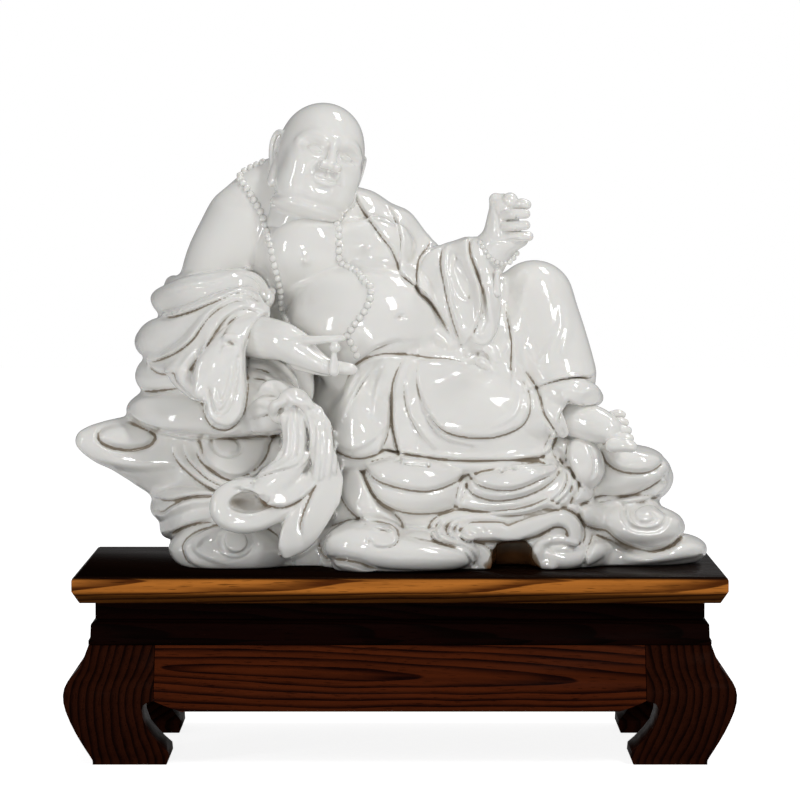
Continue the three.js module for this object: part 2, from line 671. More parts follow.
function baseMasses(c) {
  c.box([-222, -66, -40], [-40, 66, 132], 54, { blend: 4 });
  c.box([-75, -98, -40], [190, 72, 102], 44, { blend: 20 });
  c.box([150, -56, -30], [270, 56, 60], 28, { blend: 18 });
  // Lobes of cloud along the back, in two rows.
  for (const [x, y, z, r, h] of [[-176, 50, 18, 58, 30], [-66, 62, 20, 62, 32], [40, 64, 16, 58, 30],
    [140, 58, 18, 56, 28], [226, 34, 16, 50, 24]]) {
    c.blob([x, y, z], [r, 36, h], { blend: 4 });
  }
  for (const [x, y, z, r, h] of [[-214, 36, 88, 48, 34], [-126, 60, 80, 52, 32], [-14, 62, 76, 60, 30],
    [92, 58, 72, 56, 30], [176, 36, 64, 46, 28]]) {
    c.blob([x, y, z], [r, 34, h], { turn: [0, 0, -0.08 * x], blend: 4 });
  }
  c.blob([-176, 58, 122], [50, 30, 20], { blend: 5 });
  c.blob([30, 56, 108], [70, 34, 18], { blend: 5 });
  c.blob([222, -2, 84], [52, 56, 32], { blend: 8 });
  // Prong of cloud at the left.
  c.limb([[-170, 6, 95, 46], [-222, 4, 104, 44], [-270, -10, 116, 30], [-298, -24, 121, 19],
    [-311, -30, 123, 12]], { blend: 12 });
  // Folds round the left end.
  c.limb([[-176, -72, 66, 7], [-212, -52, 60, 14], [-234, 0, 56, 16], [-228, 60, 60, 15]], { blend: 4 });
  c.limb([[-170, -80, 52, 6], [-204, -62, 42, 13], [-224, -8, 36, 16], [-220, 60, 36, 15]], { blend: 4 });
  // Bottom lobes.
  c.blob([-168, -54, 18], [60, 42, 28], { blend: 3 });
  c.blob([4, -100, 18], [70, 42, 24], { blend: 3 });
  c.blob([-34, -104, 24], [40, 38, 26], { blend: 8 });
  c.blob([168, -56, 14], [34, 28, 18], { blend: 6 });
  c.blob([250, -4, 11], [58, 60, 20], { blend: 3 });
  c.blob([230, -24, 36], [54, 44, 22], { blend: 3 });
  c.blob([232, -28, 92], [36, 34, 24], { blend: 3 });
  // Lobes under the lap.
  c.blob([114, -58, 74], [62, 44, 32], { blend: 6 });
  c.blob([8, -66, 78], [60, 46, 34], { blend: 6 });
  c.limb([[136, -6, 122, 24], [176, -30, 114, 20], [212, -34, 110, 18]], { blend: 8 });
  // Hollow between the bottom lobes.
  c.blob([114, -112, 0], [24, 50, 17], { carve: true, blend: 8 });
}

function baseDetails(c) {
  // Left pile of cloud under the lap: an outer roll and two pillows.
  c.swell([[-59, 106], [-61, 88], [-59, 70], [-52, 55], [-39, 43], [-22, 36], [0, 33], [-6, 45],
    [-21, 55], [-31, 70], [-38, 90], [-41, 106]], 7, { soft: 2.5, moat: 2, dome: 12 });
  c.swell([[-36, 106], [-36, 90], [-30, 75], [-22, 64], [-9, 55], [6, 50], [25, 49], [43, 51], [56, 57],
    [61, 67], [65, 79], [73, 96], [40, 110], [0, 114]], 6, { soft: 2.5, moat: 2.2, dome: 14 });
  c.swell([[-40, 110], [-34, 95], [-23, 83], [-5, 76], [15, 72], [32, 72], [50, 78], [64, 87], [74, 99],
    [40, 113], [0, 117]], 8, { soft: 2.5, moat: 2.4, dome: 18 });
  c.groove([[-4, 100, 1], [-1, 104, 2.4], [8, 106, 2.2], [18, 106, 2.2], [26, 105, 2.6], [29, 102, 1]],
    { sink: 0.5, blend: 2 });
  // Right pile, its end turned up in nested bands.
  c.swell([[57, 56], [80, 50], [105, 47], [127, 49], [145, 54], [162, 54], [174, 66], [177, 80],
    [173, 93], [166, 104], [140, 110], [75, 96], [62, 76]], 6, { soft: 2.5, moat: 2.2, dome: 12 });
  c.fold([[168, 102, 2], [172, 86, 4], [169, 72, 4], [158, 59, 4], [144, 52, 2]],
    { width: 8, hand: -1, moat: 2 });
  c.fold([[160, 102, 2], [165, 86, 4], [163, 73, 4], [153, 61, 4], [136, 54, 2]],
    { width: 8, hand: -1, moat: 2 });
  c.swell([[67, 79], [75, 68], [95, 62], [120, 65], [142, 74], [156, 87], [159, 102], [140, 110],
    [80, 100]], 7, { soft: 2.5, moat: 2.2, dome: 12 });
  c.swell([[72, 96], [73, 84], [84, 76], [105, 72], [122, 75], [138, 82], [154, 90], [156, 102],
    [130, 110], [90, 106]], 7, { soft: 2.5, moat: 2.2, dome: 14 });
  c.groove([[96, 100, 1.5], [101, 97, 2.4], [105, 92, 2.8], [109, 97, 2], [114, 100, 1]],
    { sink: 0.5, blend: 2 });
  // Stream that turns under them in an S of two rolls, and the lobe inside its bend.
  c.swell([[62, 31], [67, 36], [76, 39], [90, 39], [105, 38], [120, 33], [140, 39], [160, 45],
    [175, 40], [182, 29], [174, 22], [160, 29], [145, 25], [137, 18], [120, 15], [100, 14], [82, 15],
    [70, 19], [64, 24]], 7, { soft: 2.5, moat: 2, dome: 11 });
  c.groove([[76, 31, 1], [88, 35, 2], [100, 34, 2.2], [107, 30, 1]], { sink: 0.3, blend: 2 });
  c.ridge([[172, 53, 3], [152, 47, 5], [130, 43, 5], [100, 43, 5], [70, 45, 5], [55, 43, 5.5],
    [44, 37, 6], [38, 29, 6], [42, 22, 6], [56, 16, 6.5], [72, 12, 8], [83, 4, 10], [84, -8, 10],
    [80, -18, 10]], { sink: 2.5, blend: 1.5 });
  c.ridge([[100, 38, 2], [72, 41, 3.4], [59, 38, 3.6], [51, 32, 3.8], [51, 26, 3.8], [59, 21, 3.6],
    [72, 17, 3]], { sink: 1, blend: 1.2 });
  // Hook of cloud at the front.
  c.swell([[132, 12], [137, 20], [146, 26], [160, 35], [173, 35], [181, 29], [184, 21], [196, 20],
    [210, 17], [200, 9], [190, -3], [172, -8], [155, -10], [140, -7], [134, 2]],
    9, { soft: 2.5, moat: 2, dome: 13 });
  c.groove([[190, 13, 1], [178, 6, 2.4], [166, 2, 3], [153, -1, 3], [146, 4, 3], [149, 11, 2.6],
    [156, 14, 1.5]], { sink: 0.5, blend: 2 });
  c.groove([[178, 24, 1], [166, 22, 2.2], [152, 20, 2.4], [143, 14, 1.5]], { sink: 0.5, blend: 2 });
  c.groove([[151, 25, 1], [160, 31, 2], [168, 28, 1.6]], { sink: 0.2, blend: 1.5 });
  // Bottom lobe in the middle, with a lip under it.
  c.swell([[-78, 0], [-55, -2], [-24, -10], [40, -14], [76, -8], [82, -22], [-70, -24]],
    4, { soft: 2.5, moat: 1 });
  c.swell([[-79, 16], [-75, 28], [-60, 35], [-38, 38], [-8, 35], [4, 24], [30, 17], [50, 14], [66, 10],
    [72, 2], [68, -6], [40, -10], [0, -9], [-24, -6], [-40, 0], [-55, 3], [-74, 6]],
    7, { soft: 2.5, moat: 2.4, dome: 18 });
  c.groove([[-36, 32, 1], [-21, 36, 2.2], [-8, 32, 2.8], [-2, 23, 3], [-6, 15, 3], [-16, 12, 3],
    [-26, 14, 3.6], [-31, 21, 4.6], [-27, 27, 3.4], [-19, 28, 2.4], [-15, 23, 1.4]],
    { sink: 1.2, blend: 1.5 });
  // Bottom lobe at the left: a lip, a swirl and a roundel with a deep start.
  c.swell([[-230, 13], [-227, 1], [-221, -5], [-212, -9], [-188, -12], [-150, -14], [-115, -12],
    [-112, 6], [-138, 32], [-175, 41], [-195, 38], [-216, 32], [-227, 22]],
    6, { soft: 2.5, moat: 2.2, dome: 14 });
  c.fold([[-168, 37, 1], [-188, 33, 4], [-206, 26, 5], [-216, 16, 5], [-214, 4, 5], [-206, -4, 4],
    [-188, -10, 2]], { width: 14, hand: 1, moat: 2 });
  c.ridge([[-172, 34, 1.5], [-190, 29, 3.4], [-201, 22, 4], [-205, 13, 4], [-198, 7, 3.6],
    [-186, 2, 3.4], [-174, -3, 1.5]], { sink: 1.4, blend: 2 });
  c.swell(oval(-166, 18, 17, 14), 4, { soft: 2.5, dome: 12, moat: 1 });
  c.groove([[-176, 28, 2], [-180, 22, 4.4], [-179, 14, 4.4], [-173, 8, 3], [-164, 6, 2.6],
    [-155, 10, 2.4], [-151, 18, 2.4], [-154, 27, 2], [-161, 31, 1]], { sink: 0.5, blend: 1.5 });
  // Rolls round the left end.
  c.fold([[-261, 72, 2], [-248, 65, 5], [-230, 62, 6], [-208, 66, 5], [-184, 66, 3]],
    { width: 16, hand: 1, moat: 2 });
  c.fold([[-256, 60, 2], [-240, 48, 5], [-228, 54, 6], [-212, 61, 6], [-184, 64, 3]],
    { width: 16, hand: -1, moat: 2 });
  c.fold([[-240, 21, 2], [-228, 30, 5], [-210, 37, 6], [-194, 40, 6], [-178, 38, 3]],
    { width: 16, hand: 1, moat: 2 });
  // Lobes at the right end.
  c.swell([[195, 24], [210, 19], [225, 10], [245, 4], [270, 11], [284, 24], [282, 36], [292, 36],
    [304, 26], [307, 16], [302, 6], [280, 1], [245, -4], [200, -8], [186, -6]],
    5, { soft: 2.5, moat: 2, dome: 12 });
  c.swell([[181, 52], [184, 40], [196, 34], [207, 32], [217, 24], [230, 16], [250, 12], [270, 16],
    [281, 27], [283, 40], [280, 48], [265, 58], [247, 64], [230, 63], [200, 63]],
    8, { soft: 2.5, moat: 2.4, dome: 15 });
  c.groove([[218, 59, 1], [224, 56, 2.2], [224, 45, 2.8], [231, 34, 3], [245, 30, 3], [260, 32, 3],
    [268, 42, 3], [263, 53, 2.8], [250, 58, 2.6], [238, 55, 2.6], [233, 47, 2.6], [238, 39, 2.6],
    [248, 37, 2.4], [256, 42, 2], [252, 49, 1.2]], { sink: 0.6, blend: 2 });
  c.fold([[262, 86, 2], [268, 78, 4], [260, 68, 5], [246, 62, 4], [230, 60, 2]],
    { width: 10, hand: -1, moat: 2 });
  c.swell([[174, 59], [195, 61], [220, 65], [245, 73], [262, 85], [272, 100], [264, 116], [240, 122],
    [200, 116], [176, 92]], 5, { soft: 2.5, moat: 2.4, dome: 14 });
  c.swell([[203, 112], [209, 99], [224, 91], [245, 90], [258, 96], [262, 105], [252, 116], [232, 121],
    [212, 120]], 8, { soft: 2.5, moat: 2.4, dome: 15 });
  // Prong: a boss inside a rim.
  c.swell(oval(-273, 125, 33, 17, -2), -4, { soft: 2.5, deep: 30 });
  c.swell(oval(-274, 125, 27, 12, -2), 9, { soft: 2.5, deep: 30, dome: 12, moat: 1.5 });
  c.fold([[-330, 116, 1], [-316, 106, 3], [-290, 96, 5], [-260, 92, 4], [-232, 94, 2]],
    { width: 18, hand: 1, moat: 1, soft: 4 });
  // Upper curl and the streams that leave it.
  c.swell([[-197, 114], [-194, 103], [-186, 94], [-175, 88], [-164, 86], [-153, 89], [-142, 97],
    [-136, 106], [-133, 116], [-133, 132], [-197, 132]], 7, { soft: 2.5, dome: 15, moat: 2.4 });
  c.groove([[-189, 128, 2.6], [-189, 118, 3], [-185, 110, 3.2], [-177, 105, 3.2], [-168, 105, 3.2],
    [-161, 109, 3.4], [-159, 116, 3.4], [-163, 121, 2.8], [-169, 121, 1.6]], { sink: 1, blend: 1 });
  c.fold([[-204, 114, 1], [-199, 102, 5], [-188, 92, 6], [-175, 84, 6], [-160, 81, 6], [-144, 84, 3]],
    { width: 14, hand: 1, moat: 2 });
  c.fold([[-228, 114, 1], [-223, 102, 5], [-213, 91, 6], [-198, 79, 6], [-180, 70, 6], [-164, 68, 3]],
    { width: 14, hand: 1, moat: 2 });
  c.fold([[-216, 114, 1], [-212, 103, 4], [-204, 94, 5], [-190, 82, 5], [-174, 75, 3]],
    { width: 9, hand: 1, moat: 2 });
}

function bag(c) {
  c.blob([-188, -4, 186], [77, 70, 36], { blend: 2 });
  c.blob([-186, -8, 151], [87, 78, 30], { blend: 3 });
  c.blob([-144, -44, 172], [48, 48, 36], { blend: 10 });
  c.limb([[-128, -78, 162, 30], [-113, -96, 165, 18], [-104, -104, 167, 12]], { blend: 8 });
  c.limb([[-108, -58, 202, 5], [-97, -58, 195, 8], [-92, -60, 181, 8], [-91, -66, 167, 6]], { blend: 3 });
  c.fold([[-271, 169, 4], [-254, 168, 6], [-234, 170, 5], [-214, 172, 3], [-198, 170, 1]],
    { width: 18, hand: -1, moat: 2 });
  c.fold([[-273, 150, 2], [-264, 142, 4], [-245, 134, 5], [-215, 128, 6], [-175, 125, 6],
    [-138, 126, 6], [-116, 128, 3]], { width: 24, hand: 1, moat: 2.2 });
  // Creases that run to the knot.
  c.fold([[-154, 202, 1], [-132, 198, 4], [-116, 186, 4], [-105, 171, 2]],
    { width: 11, hand: -1, moat: 2 });
  c.fold([[-155, 193, 1], [-136, 189, 4], [-120, 179, 4], [-107, 168, 2]],
    { width: 10, hand: -1, moat: 2 });
  c.fold([[-154, 182, 1], [-138, 180, 4], [-126, 175, 3], [-112, 167, 1]],
    { width: 9, hand: -1, moat: 2 });
  c.fold([[-156, 142, 1], [-138, 146, 3], [-124, 153, 4], [-113, 160, 2]],
    { width: 12, hand: 1, moat: 2 });
  c.ridge([[-141, 169, 2], [-134, 175, 4.5], [-124, 177, 5], [-116, 172, 5], [-106, 166, 3]],
    { sink: 1.4, blend: 1.5 });
  c.ridge([[-150, 153, 2], [-140, 159, 4.5], [-129, 156, 5], [-117, 159, 4.5], [-108, 164, 3]],
    { sink: 1.4, blend: 1.5 });
  c.groove([[-147, 162, 1], [-138, 166, 2.4], [-130, 166, 2.6], [-124, 165, 1]],
    { sink: 0.6, blend: 1.5 });
}

// The bag's tied ends: strands that fall from the knot and open into cloth tails.
function ties(c) {
  // Left tail: a sheet that rolls open at its end.
  c.limb([[-168, -112, 64, 15], [-154, -114, 62, 21], [-134, -115, 66, 20], [-113, -114, 76, 14],
    [-92, -111, 86, 9]], { blend: 3, flat: [[0, 1, 0], 0.8] });
  c.limb([[-150, -116, 86, 6], [-164, -117, 82, 7], [-174, -118, 73, 9], [-176, -120, 60, 10],
    [-169, -121, 50, 9], [-154, -121, 46, 9], [-135, -120, 49, 9], [-117, -118, 58, 8],
    [-97, -115, 70, 6], [-82, -113, 81, 4]], { blend: 4 });
  c.blob([-145, -136, 69], [22, 26, 11], { turn: [0, -6, 0], carve: true, blend: 3 });
  c.limb([[-99, -113, 111, 11], [-111, -117, 99, 14], [-124, -119, 87, 15], [-138, -118, 83, 9],
    [-148, -117, 84, 6]], { blend: 3, flat: [[0, 1, 0], 0.7] });
  // Lower tail, a leaf of cloth with a fold down its middle.
  c.limb([[-72, -110, 101, 14], [-75, -115, 80, 19], [-86, -119, 57, 19], [-98, -121, 34, 15],
    [-109, -121, 20, 7]], { blend: 2, flat: [[0, 1, 0], 0.45] });
  c.limb([[-95, -112, 61, 8], [-106, -117, 44, 9], [-112, -119, 27, 7], [-111, -119, 17, 5]],
    { blend: 2 });
  c.fold([[-82, 78, 2], [-88, 65, 5], [-94, 51, 6], [-98, 38, 5], [-98, 28, 2]],
    { width: 18, hand: 1, moat: 3 });
  c.ridge([[-58, 104, 2], [-59, 86, 2.8], [-62, 65, 3], [-67, 46, 3], [-75, 29, 3], [-87, 15, 3],
    [-100, 6, 2.6], [-112, 3, 2.6], [-118, 8, 2.8], [-119, 17, 2.8], [-116, 32, 2.6], [-108, 46, 2.2],
    [-99, 55, 1.5]], { sink: 1.4, blend: 1.5 });
  // Strands of both bundles under the knot.
  c.limb([[-104, -110, 160, 9], [-104, -114, 144, 12], [-103, -115, 127, 12], [-107, -116, 113, 11],
    [-117, -115, 101, 9]], { blend: 2, flat: [[0, 1, 0], 0.6] });
  c.limb([[-97, -110, 165, 8], [-85, -115, 154, 10], [-78, -118, 138, 11], [-76, -118, 120, 12],
    [-74, -117, 106, 12], [-74, -116, 96, 11]], { blend: 2, flat: [[0, 1, 0], 0.6] });
  for (const [x0, x1, x2, x3, x4] of [[-114, -117, -118, -122, -138], [-109, -111, -111, -116, -132],
    [-105, -105, -105, -109, -123], [-100, -99, -98, -101, -114], [-96, -93, -92, -95, -104]]) {
    c.ridge([[x0, 154, 1.5], [x1, 136, 2.8], [x2, 118, 3], [x3, 103, 2.8], [x4, 92, 1.4]],
      { sink: 0.4, blend: 0.8 });
  }
  for (const [x0, x1, x2, x3, z3] of [[-94, -88, -88, -90, 84], [-90, -82, -82, -84, 82],
    [-87, -77, -76, -78, 81], [-83, -72, -70, -72, 83], [-79, -68, -65, -66, 87]]) {
    c.ridge([[-100, 161, 1.5], [x0, 152, 2.6], [x1, 134, 2.8], [x2, 112, 3], [x3, z3 + 8, 3],
      [x3, z3, 2.2]], { sink: 0.4, blend: 0.8 });
  }
  // Near edge of the left tail's sheet, over the hollow.
  c.fold([[-160, 73, 2], [-150, 71, 4], [-143, 67, 5], [-137, 61, 5], [-129, 56, 6], [-116, 55, 6],
    [-104, 60, 5], [-92, 69, 4], [-83, 78, 2]], { width: 16, hand: 1, moat: 3 });
  c.fold([[-158, 76, 1], [-148, 82, 3], [-134, 88, 4], [-118, 92, 3], [-104, 96, 1]],
    { width: 10, hand: 1, moat: 2 });
  // Knot over them.
  c.ridge([[-120, 157, 3], [-115, 164, 6], [-105, 167, 7.5], [-96, 163, 6.5], [-90, 156, 3]],
    { sink: 1, blend: 2 });
  c.ridge([[-113, 154, 3], [-107, 161, 5], [-99, 159, 5], [-95, 152, 3]], { sink: 0, blend: 1.5 });
  c.ridge([[-117, 160, 3], [-125, 156, 5], [-127, 148, 5], [-121, 142, 4.5], [-115, 147, 3]],
    { sink: 1, blend: 1.5 });
}

function torso(c) {
  // Hips.
  c.blob([-14, 15, 150], [100, 84, 62], { blend: 4 });
  // Back in its robe.
  c.blob([-82, 34, 262], [92, 62, 100], { turn: [0, -6, 0], blend: 12 });
  // Chest and belly.
  c.blob([-84, -4, 302], [66, 54, 56], { blend: 14 });
  c.blob([-34, -34, 240], [82, 72, 60], { turn: [0, -10, 0], blend: 6 });
  c.blob([24, -44, 196], [66, 44, 26], { turn: [0, -6, 0], blend: 10 });
  // Shoulders and upper arms.
  c.blob([-124, 12, 346], [60, 42, 36], { turn: [0, -28, 0], blend: 14 });
  c.limb([[-160, 6, 334, 38], [-178, -2, 298, 37], [-190, -12, 262, 33]], { blend: 5 });
  c.blob([-124, 6, 364], [36, 28, 28], { turn: [0, -30, 0], blend: 10 });
  c.limb([[-168, 4, 354, 18], [-151, 2, 369, 19], [-126, 2, 384, 20]], { blend: 8 });
  c.blob([-38, 14, 336], [48, 42, 34], { turn: [0, 32, 0], blend: 12 });
  c.limb([[-10, 6, 322, 33], [16, -8, 296, 29], [40, -26, 276, 30]], { blend: 6 });
  // Breasts.
  c.blob([-94, -44, 316], [36, 22, 30], { turn: [0, -14, 0], blend: 12 });
  c.blob([-26, -42, 318], [36, 22, 25], { turn: [0, 10, 0], blend: 12 });
  c.fold([[-118, 262, 1], [-108, 274, 3], [-92, 281, 4], [-74, 290, 4], [-57, 296, 2]],
    { width: 18, hand: -1, moat: 1 });
  c.fold([[-52, 298, 1], [-36, 293, 3], [-10, 289, 3], [8, 284, 1]], { width: 18, hand: 1, moat: 1 });
  for (const [x, z] of [[-94, 301], [-33, 313]]) {
    c.ridge([[x, z, 4.5], [x + 0.5, z, 4.5]], { sink: 3, blend: 5 });
    c.ridge([[x, z, 2.4], [x + 0.5, z, 2.4]], { sink: 0.5, blend: 1.5 });
  }
  // Navel.
  c.groove([[-4, 244, 1], [5, 247, 3], [14, 245, 1]], { sink: -1, blend: 5 });
  // Roll of the belly over the waist.
  c.fold([[-52, 192, 2], [-30, 206, 5], [0, 214, 6], [34, 210, 5], [62, 204, 3]],
    { width: 26, hand: 1, moat: 2 });
}

// Folds of the robe that fall slantwise over the back, and its hem over the seat.
function robeBack(c) {
  c.blob([-30, 62, 140], [92, 42, 34], { blend: 14 });
  c.fold([[0, 350, 2], [-26, 306, 6], [-62, 256, 8], [-104, 206, 8], [-140, 168, 5]],
    { width: 30, hand: 1, side: 1, soft: 3 });
  c.fold([[-34, 366, 2], [-62, 322, 6], [-100, 270, 8], [-138, 222, 7], [-160, 190, 4]],
    { width: 28, hand: 1, side: 1, soft: 3 });
  c.fold([[24, 322, 2], [6, 280, 6], [-24, 232, 8], [-60, 188, 8], [-96, 152, 5]],
    { width: 30, hand: 1, side: 1, soft: 3 });
  c.fold([[-84, 372, 2], [-108, 336, 5], [-140, 290, 6], [-162, 250, 3]],
    { width: 24, hand: 1, side: 1, soft: 3 });
  c.fold([[40, 280, 2], [30, 240, 5], [6, 200, 7], [-24, 166, 6]],
    { width: 26, hand: 1, side: 1, soft: 3 });
  c.fold([[-138, 150, 3], [-90, 128, 8], [-30, 118, 9], [30, 120, 8], [84, 136, 4]],
    { width: 34, hand: 1, side: 1, moat: 2 });
  c.fold([[70, 176, 2], [30, 158, 5], [-20, 150, 6], [-70, 156, 4]],
    { width: 20, hand: -1, side: 1, soft: 3 });
}

function robeFront(c) {
  // Robe over the left shoulder: its collar band, then two folds.
  c.fold([[-48, 374, 3], [-39, 356, 6], [-28, 340, 7], [-17, 325, 7], [-7, 312, 6], [-2, 300, 5],
    [1, 290, 5], [8, 283, 6], [21, 272, 7], [31, 261, 7], [39, 251, 5], [44, 240, 3], [48, 231, 2],
    [55, 225, 1], [61, 216, 0]], { width: 40, hand: 1, moat: 3, deep: 40 });
  c.fold([[-33, 378, 1], [-14, 359, 4], [-5, 345, 5], [1, 329, 6], [2, 313, 5], [0, 298, 3]],
    { width: 18, hand: 1, moat: 2.4 });
  c.fold([[-8, 357, 1], [4, 340, 2], [10, 322, 3], [11, 302, 3], [16, 286, 1]],
    { width: 12, hand: 1, moat: 1, soft: 3 });
}

function legs(c) {
  // Raised leg.
  c.limb([[30, 14, 176, 52], [88, -8, 226, 44], [132, -28, 262, 38]], { blend: 6 });
  c.limb([[134, -30, 263, 38], [146, -38, 226, 38], [153, -44, 198, 39], [160, -48, 186, 34]],
    { blend: 6 });
  // Cloth between the sleeve and the leg.
  c.limb([[92, -40, 272, 18], [98, -50, 232, 24], [100, -54, 190, 28]], { blend: 8 });
  // Lying leg under the robe, and the waist above it.
  c.blob([6, -48, 184], [80, 50, 34], { blend: 8 });
  c.limb([[-48, -30, 146, 42], [0, -50, 142, 44], [70, -58, 146, 48], [112, -50, 142, 44]], { blend: 8 });
  c.blob([70, -60, 148], [82, 54, 46], { blend: 10 });
  c.blob([-36, -60, 140], [36, 50, 42], { blend: 10 });
  // Rolled cloth where the lying leg ends.
  c.limb([[126, -50, 121, 18], [146, -56, 118, 14], [160, -60, 116, 12]], { blend: 5 });
  c.limb([[175, -68, 120, 8], [180, -72, 112, 16], [185, -72, 99, 17], [186, -70, 89, 12]], { blend: 2 });
}

function legDetails(c) {
  // Folds of the trousers on the shin.
  c.fold([[109, 262, 1], [108, 248, 4], [111, 232, 6], [113, 215, 6], [112, 193, 5]],
    { width: 26, hand: 1, moat: 3 });
  c.fold([[124, 262, 1], [122, 245, 3], [126, 224, 4], [134, 206, 4], [141, 192, 2]],
    { width: 14, hand: -1, moat: 1, soft: 4 });
  c.fold([[159, 260, 1], [158, 236, 3], [150, 220, 4], [140, 204, 2]],
    { width: 14, hand: 1, moat: 1, soft: 3 });
  c.fold([[166, 250, 1], [166, 232, 3], [160, 212, 2]], { width: 10, hand: 1, moat: 1, soft: 3 });
  c.fold([[100, 204, 1], [106, 212, 3], [110, 222, 1]], { width: 8, hand: -1, moat: 1 });
  // Cuff: a roll above it, its flared edge and its mouth.
  c.limb([[138, -66, 169, 13], [153, -80, 172, 14], [170, -84, 175, 13], [184, -74, 172, 12],
    [193, -56, 167, 8]], { blend: 3 });
  c.limb([[143, -74, 168, 12], [147, -82, 155, 12], [154, -84, 144, 9], [161, -80, 134, 6]],
    { blend: 3 });
  c.fold([[133, 174, 3], [146, 179, 5], [160, 183, 6], [173, 185, 6], [190, 185, 4]],
    { width: 18, hand: 1, moat: 2.4 });
  c.fold([[162, 128, 3], [157, 138, 5], [158, 147, 5], [163, 156, 5], [167, 162, 5], [176, 157, 6],
    [188, 157, 6], [201, 159, 4]], { width: 13, hand: 1, moat: 3 });
  c.ridge([[160, 132, 2], [156, 141, 3], [158, 149, 3], [163, 157, 3.2], [165, 163, 3], [162, 170, 2]],
    { sink: 1.4, blend: 1.5 });
  c.fold([[163, 172, 1], [172, 173, 3], [182, 170, 3], [191, 174, 3], [201, 171, 1]],
    { width: 9, hand: -1, moat: 2 });
  // Robe over the lap: rolls at the waist and its top hem.
  c.fold([[-50, 198, 2], [-42, 202, 4], [-30, 211, 6], [-18, 217, 6], [-6, 221, 4], [6, 222, 1]],
    { width: 22, hand: 1, moat: 2, soft: 2.5 });
  c.fold([[-54, 176, 2], [-49, 186, 4], [-43, 195, 5], [-34, 201, 6], [-22, 205, 6], [-8, 206, 6],
    [10, 205, 6], [30, 202, 6], [48, 201, 5], [64, 198, 3]], { width: 20, hand: -1, moat: 2.4 });
  // Mound of the foot below it.
  c.fold([[19, 200, 2], [18, 182, 4], [21, 167, 5], [28, 151, 6], [38, 137, 7], [50, 129, 7],
    [70, 125, 7], [92, 125, 7], [110, 130, 7], [122, 137, 7], [128, 148, 6], [129, 162, 5],
    [125, 174, 4], [117, 184, 2]], { width: 30, hand: 1, moat: 2.4 });
  c.fold([[122, 182, 1], [121, 162, 2], [117, 148, 3], [105, 138, 3], [90, 133, 1]],
    { width: 8, hand: -1, moat: 1, soft: 2 });
  // Hard crease at the left of the mound and the folds that fan from the hip.
  c.fold([[4, 202, 2], [-2, 189, 5], [-6, 176, 7], [-7, 156, 8], [-6, 134, 8], [-1, 112, 6]],
    { width: 22, hand: 1, moat: 3 });
  c.fold([[-12, 150, 2], [-13, 130, 5], [-19, 114, 4]], { width: 12, hand: -1, moat: 3 });
  c.fold([[11, 198, 1], [6, 178, 4], [8, 154, 5], [18, 132, 5], [32, 116, 2]],
    { width: 12, hand: 1, moat: 2, soft: 2 });
  c.fold([[19, 166, 1], [24, 150, 4], [34, 134, 5], [48, 122, 4], [70, 116, 2]],
    { width: 10, hand: 1, moat: 2 });
  c.fold([[-23, 199, 1], [-33, 186, 4], [-41, 175, 5], [-49, 160, 4], [-56, 144, 2]],
    { width: 14, hand: -1, moat: 2 });
  c.fold([[-14, 200, 1], [-22, 184, 4], [-26, 166, 4], [-28, 148, 2]],
    { width: 12, hand: 1, moat: 1.5, soft: 2.5 });
  c.fold([[-36, 196, 1], [-45, 182, 3], [-52, 168, 3], [-57, 158, 1]],
    { width: 10, hand: -1, moat: 1.5 });
  c.fold([[-64, 120, 2], [-54, 112, 4], [-42, 113, 5], [-30, 119, 4], [-18, 130, 2]],
    { width: 16, hand: 1, moat: 1, soft: 2.5 });
  // Rim of the robe over the cloud.
  c.fold([[-74, 122, 3], [-66, 114, 5], [-55, 107, 6], [-40, 104, 6], [-24, 108, 5], [-15, 113, 4],
    [-1, 110, 5], [30, 105, 7], [62, 102, 8], [90, 102, 8], [130, 104, 8], [144, 107, 7], [151, 114, 7],
    [155, 126, 7], [151, 134, 7], [143, 147, 6], [139, 162, 6], [134, 175, 5], [126, 187, 3]],
    { width: 26, hand: 1, moat: 3 });
  // Knot of the sash.
  c.ridge([[58, 206, 4], [66, 213, 8], [78, 216, 9], [89, 211, 8], [96, 202, 5]], { sink: 1, blend: 2 });
  c.ridge([[65, 200, 4], [76, 204, 7], [88, 198, 6], [94, 192, 3]], { sink: 1, blend: 2 });
  c.groove([[66, 205, 1.5], [75, 210, 2.6], [85, 206, 2.4], [90, 199, 1.2]], { sink: 0.4, blend: 1.5 });
  c.groove([[73, 213, 1], [78, 208, 2], [77, 201, 1.4]], { sink: 0.2, blend: 1.5 });
  // Rolled cloth beside the cuff.
  c.fold([[152, 126, 3], [146, 113, 4], [145, 105, 3]], { width: 12, hand: 1, moat: 2 });
  c.fold([[169, 118, 2], [169, 108, 5], [170, 98, 6], [175, 86, 6], [181, 77, 4]],
    { width: 14, hand: 1, moat: 2.4 });
  c.groove([[188, 116, 1], [194, 106, 2.6], [196, 94, 2.6], [193, 84, 1.4]], { sink: 0.4, blend: 2 });
  c.groove([[156, 112, 1.4], [160, 108, 2.8], [162, 102, 1.4]], { sink: 0.4, blend: 2 });
}

